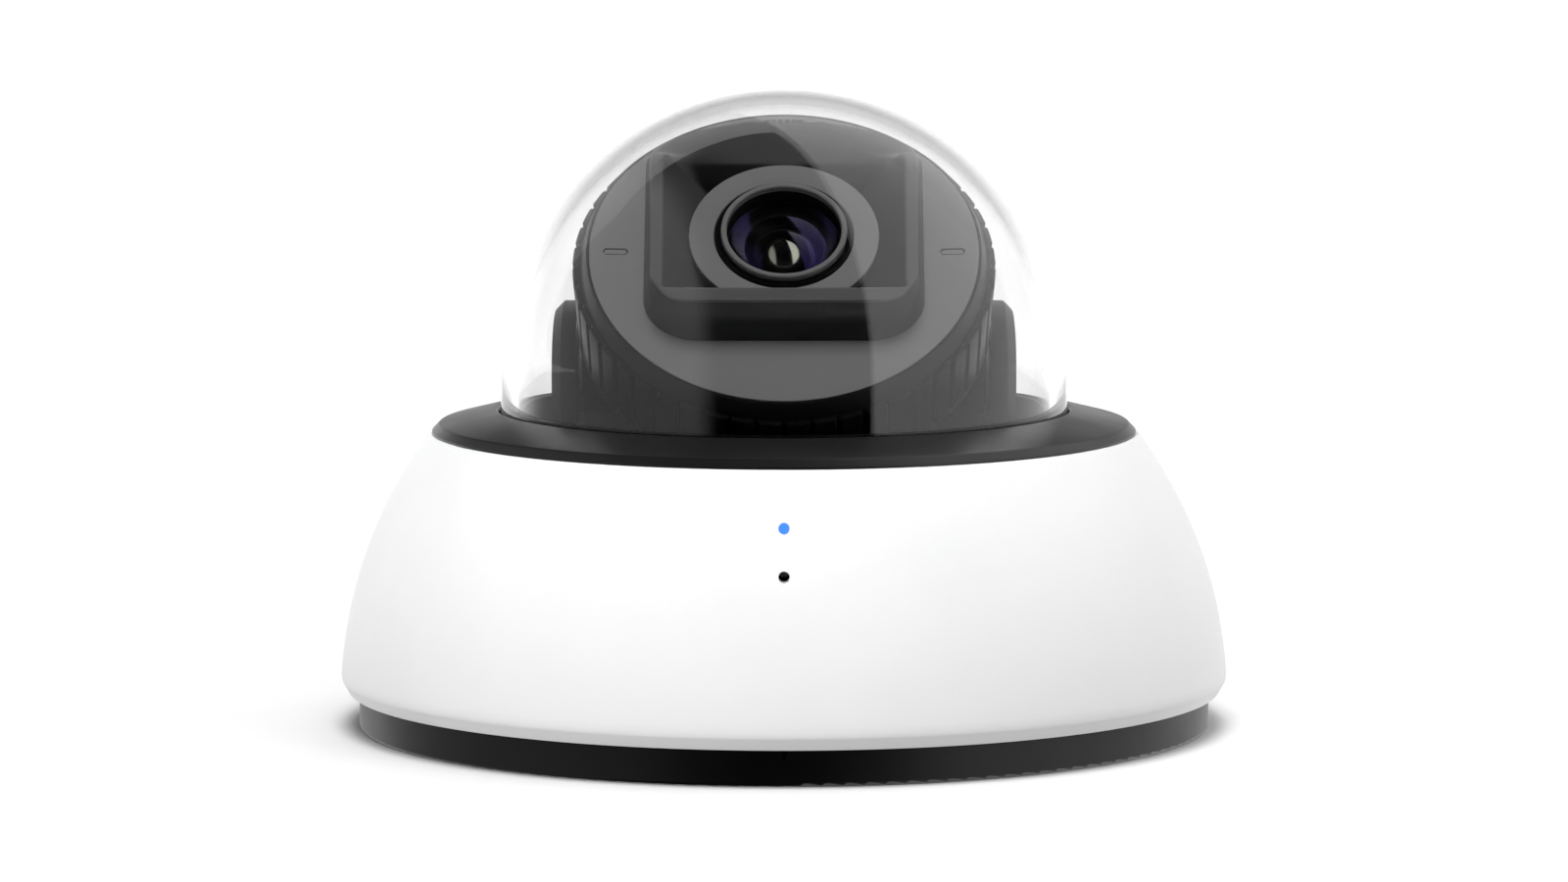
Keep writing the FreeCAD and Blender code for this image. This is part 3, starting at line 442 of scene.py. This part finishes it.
def housing_cover():
    ceiling = COVER_TOP - COVER_WALL
    outer = wall_points(COVER_ARC, 9.6, COVER_TOP - 0.7, 36)
    inner = wall_points(COVER_ARC - COVER_WALL, COVER_LOW, ceiling, 24)
    shell = rounded([
        (*inner[0], 0.3),
        (78.5, COVER_LOW, 0.3),
        (79.7, 8.75, 1.2),
    ] + outer + [
        (63.55, COVER_TOP - 0.02, 0.4),
        (54.5, COVER_TOP, 0.3),
        (54.5, ceiling, 0.3),
    ] + inner[:0:-1])
    mesh = mesh_from("housing_cover_shell", lathe(shell, ROUND_SEGMENTS))
    cutters = [rod(PINHOLE, 60, 90, matrix=facing_front(height)) for height in PINHOLE_HEIGHTS]
    cutters += [rod(SCREW_HOLE, 45, 60, at=post) for post in POSTS]
    return add_piece("cover_shell", carved(mesh, cutters), "cover", "cover_white", ["housing_cover"])


def cover_bosses():
    """The two tubes under the cover's top that take the cover screws."""
    outline = rounded([
        (SCREW_HOLE, POST_TOP),
        (BOSS_RADIUS, POST_TOP, 0.4),
        (BOSS_RADIUS, BOSS_TOP),
        (SCREW_HOLE, BOSS_TOP),
    ])
    bm = bmesh.new()
    for post in POSTS:
        tube = lathe(outline, ROD_SEGMENTS)
        bmesh.ops.translate(tube, verts=tube.verts, vec=(*post, 0))
        part = bpy.data.meshes.new("tube")
        tube.to_mesh(part)
        tube.free()
        bm.from_mesh(part)
    return add_piece("cover_bosses", mesh_from("cover_bosses", bm), "cover", "cover_white")


def trim_ring():
    outline = rounded([
        (TRIM_INNER, COVER_TOP, 0.2),
        (TRIM_OUTER, COVER_TOP, 0.1),
        (TRIM_OUTER, 53.35, 0.25),
        (62.0, 54.7, 0.8),
        (51.7, 57.25, 0.5),
        (TRIM_INNER, 56.6, 0.3),
    ], steps=5)
    mesh = mesh_from("trim_ring_band", lathe(outline, ROUND_SEGMENTS))
    cutters = [rod(SCREW_HEAD_HOLE, 50, 60, at=post) for post in POSTS]
    return add_piece("trim_band", carved(mesh, cutters), "cover", "trim_black", ["trim_ring"])


DOME_OUTER = 50.8
DOME_INNER = 48.0
DOME_SKIRT = 51.0
DOME_FLANGE = 54.2
DOME_FOOT = 49.7
DOME_STEPS = 64


def dome_bubble():
    centre = (0, PIVOT_HEIGHT)
    inner = arc(centre, DOME_INNER, 90, 0, DOME_STEPS)
    outer = arc(centre, DOME_OUTER, 0, 90, DOME_STEPS)
    inner[0] = (0, inner[0][1])
    outer[-1] = (0, outer[-1][1])
    foot = rounded([
        (DOME_INNER, 60.0),
        (DOME_INNER, DOME_FOOT, 0.3),
        (DOME_FLANGE, DOME_FOOT, 0.3),
        (DOME_FLANGE, 52.2, 0.3),
        (DOME_SKIRT, 52.2, 0.4),
        (DOME_SKIRT, 57.3, 1.0),
        (DOME_OUTER, 60.5),
    ])
    mesh = mesh_from("dome_shell", lathe(inner + foot + outer, ROUND_SEGMENTS))
    smooth = math.radians(60)
    return add_piece("dome_shell", mesh, "cover", "dome_clear", ["dome_bubble"], smooth_below=smooth)


# ---------------------------------------------------------------- head

DRUM_BACK = 14.4
DRUM_FRONT = 28.5
DRUM_RADIUS = 36.5
FACE_FRONT = 31.7
KNURL_COUNT = 48
KNURL_DEPTH = 0.7
KNURL_GAP = 1.0
KNURL_FLANK = 0.28
BEZEL_RADIUS = 35.4
MARK_PLACES = (("right", 29.17), ("left", -29.17))
MARK_HEIGHT = 0.33


def knurl_dip(angle):
    """How deep the grip drum's grooves are at an angle, from 0 to 1."""
    pitch = 2 * math.pi / KNURL_COUNT
    offset = abs((angle + pitch / 2) % pitch - pitch / 2) * DRUM_RADIUS
    return min(max((KNURL_GAP / 2 + KNURL_FLANK / 2 - offset) / KNURL_FLANK, 0.0), 1.0)


def knurl_ring():
    outline = [
        (33.0, DRUM_BACK),
        (35.9, DRUM_BACK),
        (36.3, DRUM_BACK + 0.15),
        (DRUM_RADIUS, DRUM_BACK + 0.5),
        (DRUM_RADIUS, DRUM_BACK + 0.9),
        (DRUM_RADIUS, DRUM_BACK + 1.3, KNURL_DEPTH),
        (DRUM_RADIUS, DRUM_FRONT - 0.5, KNURL_DEPTH),
        (36.3, DRUM_FRONT - 0.15, KNURL_DEPTH),
        (35.9, DRUM_FRONT, KNURL_DEPTH / 2),
        (33.0, DRUM_FRONT),
    ]
    mesh = mesh_from("grip_drum", lathe(outline, KNURL_COUNT * 20, knurl_dip), ON_HEAD)
    return add_piece("grip_drum", mesh, "head", "head_black", ["knurl_ring"])


def head_bezel():
    outline = rounded([
        (31, DRUM_FRONT),
        (BEZEL_RADIUS, DRUM_FRONT, 0.2),
        (34.0, FACE_FRONT, 0.5),
        (33.6, FACE_FRONT, 0.1),
        (33.6, DRUM_FRONT + 1),
        (31, DRUM_FRONT + 1),
    ])
    bm = lathe(outline, ROUND_SEGMENTS)
    return add_piece("bezel", mesh_from("bezel", bm, ON_HEAD), "head", "head_black", ["head_bezel"])


def stadium_cutter(x, y, half, radius, low, high):
    """A slot-shaped cutter along X."""
    around = arc((x + half, y), radius, -90, 90, 16) + arc((x - half, y), radius, 90, 270, 16)
    bm = bmesh.new()
    bottom = [bm.verts.new((*point, low)) for point in around]
    top = [bm.verts.new((*point, high)) for point in around]
    bm.faces.new(bottom)
    bm.faces.new(top)
    for index in range(len(around)):
        after = (index + 1) % len(around)
        bm.faces.new([bottom[index], bottom[after], top[after], top[index]])
    return mesh_from("slot", bm, ON_HEAD)


def slot_inlay(x):
    """The slot's floor: a lighter plug that leaves a fine groove all round."""
    return stadium_cutter(x, MARK_HEIGHT, 1.36, 0.48, FACE_FRONT - 0.45, FACE_FRONT - 0.1)


def slot_cutter(x):
    """The slot itself, cut a little way into the face."""
    return stadium_cutter(x, MARK_HEIGHT, 1.38, 0.75, FACE_FRONT - 0.5, FACE_FRONT + 1)


def faceplate():
    outline = rounded([(14.0, 29.5), (33.58, 29.5), (33.58, FACE_FRONT, 0.25), (14.0, FACE_FRONT)])
    mesh = mesh_from("face", lathe(outline, ROUND_SEGMENTS), ON_HEAD)
    cutters = [slot_cutter(x) for side, x in MARK_PLACES]
    face = add_piece("face", carved(mesh, cutters), "head", "face_grey", ["faceplate"])
    for side, x in MARK_PLACES:
        add_piece("face_mark_" + side, slot_inlay(x), "head", "face_grey")
    return face


FLANGE_RADIUS = 16.5
FLANGE_FRONT = 36.5
FLANGE_BACK = 34.8
FLANGE_HOLE = 12.1
LENS_HOLE = 12.3
HOOD_FLOOR = 34.7
HOOD_REACH = 46.5
HOOD_TOP_CIRCLE = 32.5
RAMP_SLOPE = 0.317
HOOD_RAYS = 360

# The hood's outline at its foot, its outer edge and its inner edge, each as
# (half width, lowest point, corner radius, radius of the arc above).
HOOD_BASE = (24.3, -20.0, 9.5, HOOD_TOP_CIRCLE)
HOOD_OUTER = (22.9, -17.05, 6.0, HOOD_TOP_CIRCLE - 0.25)
HOOD_INNER = (21.5, -14.1, 4.6, HOOD_TOP_CIRCLE - 1.2)


def square_reach(angle, half_width, bottom, corner, top_circle):
    """How far the hood's outline is from the lens axis in a direction."""
    dx, dy = math.cos(angle), math.sin(angle)
    reach = top_circle
    if abs(dx) > 1e-9:
        reach = min(reach, half_width / abs(dx))
    if dy < -1e-9:
        reach = min(reach, -bottom / -dy)
    x, y = reach * dx, reach * dy
    cx, cy = half_width - corner, bottom + corner
    if abs(x) > cx and y < cy:
        px = abs(dx) * cx + dy * cy
        inside = px ** 2 - (cx ** 2 + cy ** 2 - corner ** 2)
        reach = px + math.sqrt(max(inside, 0.0))
    return reach


def soft_max(a, b, blend):
    """The larger of two values, rounded over where they are within blend of each other."""
    share = max(blend - abs(a - b), 0.0) / blend
    return max(a, b) + share * share * blend / 4


def soft_min(a, b, blend):
    return -soft_max(-a, -b, blend)


def hood_height(x, y):
    """The height of the hood's front surface over a point of the face: side panels that rise
    outwards, a panel above that falls away and curls up where it meets them, and a low wall."""
    ramp = FLANGE_FRONT - RAMP_SLOPE * (y - FLANGE_RADIUS)
    wall_end = soft_max(HOOD_RIM - (y - 16.2) * 0.9, ramp, 0.8)
    sides = FLANGE_FRONT + (abs(x) - FLANGE_RADIUS) / 2
    sides = soft_min(soft_min(sides, HOOD_RIM, 0.4), wall_end, 0.4)
    bottom = HOOD_FLOOR + (-y - 12.5) * 2.6
    height = soft_max(sides, min(bottom, HOOD_RIM + 1), 0.5)
    share = abs(x) / (1.2 * y) if y > 1 else 2.0
    if share < 1:
        panel = min(ramp, FLANGE_FRONT)
        height = panel + (height - panel) * share ** 5
    height = soft_min(height, HOOD_RIM, 0.4)
    reach = math.sqrt(HOOD_REACH ** 2 - x ** 2 - y ** 2)
    return soft_min(height, reach, 0.3)


def hood_line(angle):
    """A section through the hood in one direction, from the lens hole out and back."""
    base = square_reach(angle, *HOOD_BASE)
    outer = square_reach(angle, *HOOD_OUTER)
    inner = square_reach(angle, *HOOD_INNER)
    first = min(FLANGE_RADIUS + 0.05, inner - 0.5)
    stations = [first + (inner - first) * step / 26 for step in range(27)]
    stations += [inner + (outer - inner) * step / 8 for step in range(1, 9)]
    dx, dy = math.cos(angle), math.sin(angle)
    line = [(LENS_HOLE * dx, LENS_HOLE * dy, FACE_FRONT)]
    line += [(reach * dx, reach * dy, HOOD_FLOOR) for reach in (LENS_HOLE, first)]
    line += [(reach * dx, reach * dy, hood_height(reach * dx, reach * dy)) for reach in stations]
    edge = line[-1][2]
    drop = min(0.35, 0.3 * (edge - FACE_FRONT))
    for share in (0.1, 0.35, 1.0):
        reach = outer + (base - outer) * share * 0.12
        line.append((reach * dx, reach * dy, edge - drop * (0.15 + 0.85 * share)))
    for share in (0.5, 1.0):
        reach = outer + (base - outer) * (0.12 + 0.88 * share)
        low = edge - drop + (FACE_FRONT - edge + drop) * share
        line.append((reach * dx, reach * dy, low))
    return line


def lens_hood():
    bm = bmesh.new()
    lines = []
    for index in range(HOOD_RAYS):
        line = hood_line(2 * math.pi * index / HOOD_RAYS)
        lines.append([bm.verts.new(point) for point in line])
    count = len(lines[0])
    for index in range(HOOD_RAYS):
        one, two = lines[index], lines[(index + 1) % HOOD_RAYS]
        for step in range(count):
            after = (step + 1) % count
            bm.faces.new([one[step], two[step], two[after], one[after]])
    mesh = mesh_from("hood", bm, ON_HEAD)
    smooth = math.radians(40)
    return add_piece("hood", mesh, "head", "hood_grey", ["lens_hood"], smooth_below=smooth)


def lens_flange():
    outline = rounded([
        (FLANGE_HOLE, FLANGE_BACK, 0.1),
        (FLANGE_RADIUS, FLANGE_BACK, 0.1),
        (FLANGE_RADIUS, FLANGE_FRONT, 0.2),
        (FLANGE_HOLE, FLANGE_FRONT, 0.3),
    ])
    bm = lathe(outline, 192)
    return add_piece("flange", mesh_from("flange", bm, ON_HEAD), "head", "face_grey", ["lens_flange"])


BARREL_RADIUS = 12.0
BARREL_BACK = 10.0
BARREL_FRONT = 36.9
LENS_SEAT = 9.95
RING_RADIUS = 10.95
RING_FRONT = 38.0
CORE_LOW = 29.4
CORE_EDGE = 4.4
CORE_RISE = 3.3


def lens_barrel():
    outline = rounded([
        (6.5, BARREL_BACK),
        (BARREL_RADIUS, BARREL_BACK, 0.2),
        (BARREL_RADIUS, BARREL_FRONT, 0.4),
        (LENS_SEAT, BARREL_FRONT, 0.1),
        (LENS_SEAT, 31.5),
        (8.6, 31.5, 0.1),
        (8.6, 16),
        (6.5, 16),
    ])
    bm = lathe(outline, LENS_SEGMENTS)
    return add_piece("barrel", mesh_from("barrel", bm, ON_HEAD), "head", "barrel_black", ["lens_barrel"])


def lens_front_ring():
    outline = rounded([
        (LENS_SEAT, BARREL_FRONT),
        (RING_RADIUS, BARREL_FRONT),
        (RING_RADIUS, RING_FRONT, 0.35),
        (LENS_SEAT, RING_FRONT, 0.35),
    ])
    mesh = mesh_from("front_ring", lathe(outline, LENS_SEGMENTS), ON_HEAD)
    return add_piece("front_ring", mesh, "head", "ring_grey", ["lens_front_ring"])


def lens_core():
    """The small, strongly curved element seen deep in the lens, with its mirror coating."""
    radius = (CORE_EDGE ** 2 + CORE_RISE ** 2) / (2 * CORE_RISE)
    centre = (0, CORE_LOW + CORE_RISE - radius)
    start = math.degrees(math.asin((CORE_LOW - centre[1]) / radius))
    cap = arc(centre, radius, start, 90, 24)
    cap[-1] = (0, CORE_LOW + CORE_RISE)
    bm = lathe([(0, CORE_LOW)] + cap, 96)
    return add_piece("lens_core", mesh_from("lens_core", bm, ON_HEAD), "head", "lens_glass")


# ---------------------------------------------------------------- floor, light and camera

CAMERA_BACK = 1307.2
CAMERA_HEIGHT = 192.6
CAMERA_PITCH = 0.1078
CAMERA_LENS = 167.6

# The floor's parts, in metres.
FLOOR_HALF = 8.0
NEAR_HALF = 0.2
NEAR_FRONT = -0.35
NEAR_BACK = 0.6
SWEEP_START = 3.2
SWEEP_RADIUS = 1.5
SWEEP_TOP = 7.0


def stage_strip(name, left, right, outline, in_glass=True):
    """A pale sheet drawn across the studio from a (y, z) outline, kept out of reflections."""
    bm = bmesh.new()
    one = [bm.verts.new((left, y, z)) for y, z in outline]
    two = [bm.verts.new((right, y, z)) for y, z in outline]
    for index in range(len(outline) - 1):
        bm.faces.new([one[index], two[index], two[index + 1], one[index + 1]])
    mesh = bpy.data.meshes.new(name)
    bm.to_mesh(mesh)
    bm.free()
    mesh.polygons.foreach_set("use_smooth", [True] * len(mesh.polygons))
    sheet = bpy.data.objects.new(name, mesh)
    bpy.context.scene.collection.objects.link(sheet)
    mesh.materials.append(MATERIALS["floor_white"])
    sheet.visible_glossy = False
    sheet.visible_diffuse = False
    sheet.visible_transmission = in_glass
    return sheet


def floor():
    """The floor, which sweeps up into a backdrop. Its parts in front and at the sides are kept
    out of the dome's own reflections, as black cards would do in a studio."""
    sweep = arc((SWEEP_START, SWEEP_RADIUS), SWEEP_RADIUS, -90, 0, 12)
    sweep.append((SWEEP_START + SWEEP_RADIUS, SWEEP_TOP))
    beside = [(NEAR_FRONT, 0), (NEAR_BACK, 0)]
    before = [(-FLOOR_HALF, 0), (NEAR_FRONT, 0)]
    return [
        stage_strip("floor", -FLOOR_HALF, FLOOR_HALF, [(NEAR_BACK, 0)] + sweep),
        stage_strip("floor_near", -NEAR_HALF, NEAR_HALF, beside),
        stage_strip("floor_left", -FLOOR_HALF, -NEAR_HALF, beside, in_glass=False),
        stage_strip("floor_right", NEAR_HALF, FLOOR_HALF, beside, in_glass=False),
        stage_strip("floor_front", -FLOOR_HALF, FLOOR_HALF, before, in_glass=False),
    ]


def soft_sun(name, azimuth, elevation, angle, strength, only_on=()):
    """A wide, distant lamp that lights matt surfaces but makes no highlight of its own.
    Azimuth 0 comes from the camera's side and 90 from the right. A lamp can be kept to some
    pieces, as a flag does in a studio."""
    data = bpy.data.lights.new(name, "SUN")
    data.angle = math.radians(angle)
    data.energy = strength
    lamp = bpy.data.objects.new(name, data)
    turn, rise = math.radians(azimuth), math.radians(elevation)
    level = math.cos(rise)
    towards = Vector((math.sin(turn) * level, -math.cos(turn) * level, math.sin(rise)))
    lamp.rotation_mode = "QUATERNION"
    lamp.rotation_quaternion = (-towards).to_track_quat("-Z", "Y")
    lamp.visible_glossy = False
    lamp.visible_transmission = False
    bpy.context.scene.collection.objects.link(lamp)
    if only_on:
        receivers = bpy.data.collections.new(name + "_receivers")
        for thing in only_on:
            receivers.objects.link(thing)
        lamp.light_linking.receiver_collection = receivers


class Surround:
    """The studio around the part: dark behind the camera, with a soft screen on the left, a
    sharp-edged panel on the right and a low glow behind."""

    def __init__(self):
        self.world = bpy.data.worlds.new("studio")
        self.world.use_nodes = True
        self.nodes = self.world.node_tree.nodes
        self.links = self.world.node_tree.links
        self.direction = self.nodes.new("ShaderNodeTexCoord").outputs["Generated"]

    def along(self, vector):
        node = self.nodes.new("ShaderNodeVectorMath")
        node.operation = "DOT_PRODUCT"
        node.inputs[1].default_value = vector
        self.links.new(self.direction, node.inputs[0])
        return node.outputs["Value"]

    def step(self, value, low, high, amount=1.0):
        node = self.nodes.new("ShaderNodeMapRange")
        node.interpolation_type = "SMOOTHSTEP"
        node.inputs["From Min"].default_value = min(low, high)
        node.inputs["From Max"].default_value = max(low, high)
        node.inputs["To Min"].default_value = 0.0 if low < high else amount
        node.inputs["To Max"].default_value = amount if low < high else 0.0
        self.links.new(value, node.inputs["Value"])
        return node.outputs["Result"]

    def math(self, operation, one, two):
        node = self.nodes.new("ShaderNodeMath")
        node.operation = operation
        self.links.new(one, node.inputs[0])
        self.links.new(two, node.inputs[1])
        return node.outputs[0]

    def finish(self, value):
        background = self.nodes["Background"]
        self.links.new(value, background.inputs["Strength"])
        background.inputs["Color"].default_value = (1, 1, 1, 1)
        bpy.context.scene.world = self.world


PANEL_SIDE = (0.906, 0.423, -0.009)
PANEL_EDGE = 0.2
PANEL_LIGHT = 0.96
SCREEN_LIGHT = 0.42
GLOW_LIGHT = 1.25


def light_studio(cover, floor_sheets):
    around = Surround()
    edge = (PANEL_EDGE - 0.01, PANEL_EDGE + 0.01)
    right = around.step(around.along(PANEL_SIDE), *edge, PANEL_LIGHT)
    right = around.math("MULTIPLY", right, around.step(around.along((0, 1, 0)), 0.95, 0.6))
    right = around.math("MULTIPLY", right, around.step(around.along((1, 0, 0)), -0.2, -0.08))
    left = around.step(around.along((-1, 0, 0)), 0.44, 0.62, SCREEN_LIGHT)
    glow = around.step(around.along((0, 0, 1)), 0.42, 0.05, GLOW_LIGHT)
    glow = around.math("MULTIPLY", glow, around.step(around.along((0, 1, 0)), 0.3, 0.8))
    around.finish(around.math("MAXIMUM", around.math("MAXIMUM", right, left), glow))
    soft_sun("key", -8, 76, 30, 2.3)
    soft_sun("cover_fill", -37, 14, 90, 2.45, [cover])
    soft_sun("floor_fill", 0, 80, 80, 0.25, floor_sheets)
    soft_sun("backdrop_fill", 0, 5, 60, 1.9, floor_sheets)


def camera():
    data = bpy.data.cameras.new("camera")
    data.sensor_width = 36.0
    data.lens = CAMERA_LENS
    data.clip_start = 0.05
    data.clip_end = 50.0
    seen = bpy.data.objects.new("camera", data)
    seen.location = (0, -CAMERA_BACK * MM, CAMERA_HEIGHT * MM)
    seen.rotation_euler = (math.pi / 2 - CAMERA_PITCH, 0, 0)
    bpy.context.scene.collection.objects.link(seen)
    bpy.context.scene.camera = seen
    bpy.context.scene.view_settings.view_transform = "Standard"


camera()
cover = housing_cover()
cover_bosses()
trim_ring()
dome_bubble()
knurl_ring()
head_bezel()
faceplate()
lens_hood()
lens_flange()
lens_barrel()
lens_front_ring()
lens_core()
paint_all()
light_studio(cover, floor())
